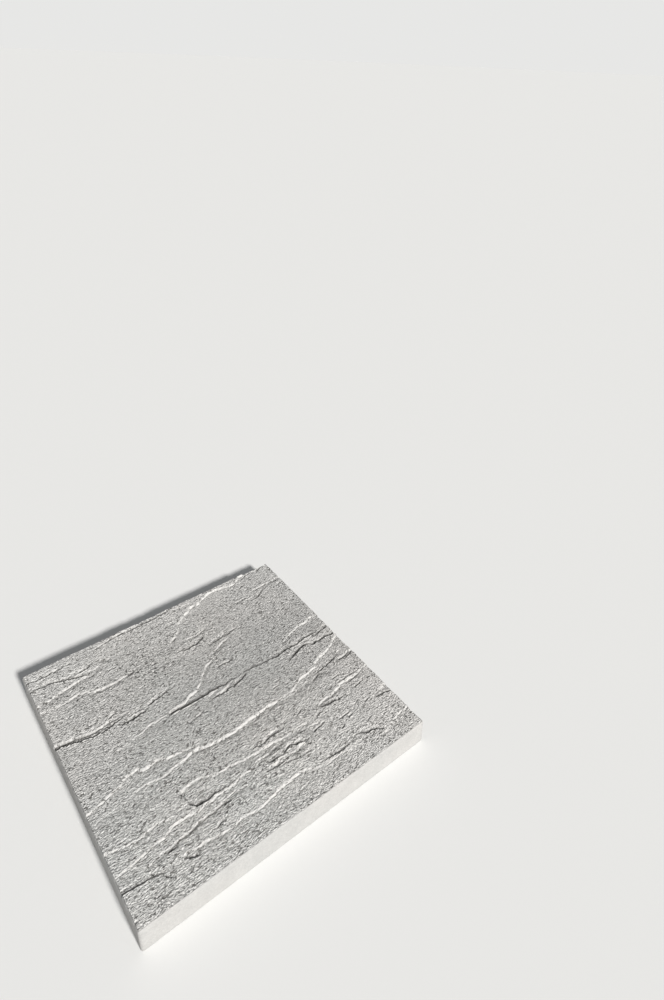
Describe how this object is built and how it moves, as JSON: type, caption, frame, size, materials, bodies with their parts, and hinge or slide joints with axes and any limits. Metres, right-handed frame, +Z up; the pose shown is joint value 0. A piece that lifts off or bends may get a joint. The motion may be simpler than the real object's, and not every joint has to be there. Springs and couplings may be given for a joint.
{
  "type": "riven concrete paving slab",
  "caption": "Square pressed concrete paving slab with a riven, split-stone top face, slightly drafted sides, eased arrises and a flat bedding face.",
  "frame": {"origin": "middle of the bedding face, the flat underside that the slab lies on", "axes": "+Z up, out of the riven face; +X along the run of the ledges; +Y across them, to the back edge"},
  "size_m": [0.4, 0.4, 0.04],
  "materials": {
    "concrete": "riven, fine-grained, matt light grey concrete"
  },
  "bodies": {
    "root": {"slab": "concrete"}
  },
  "joints": []
}
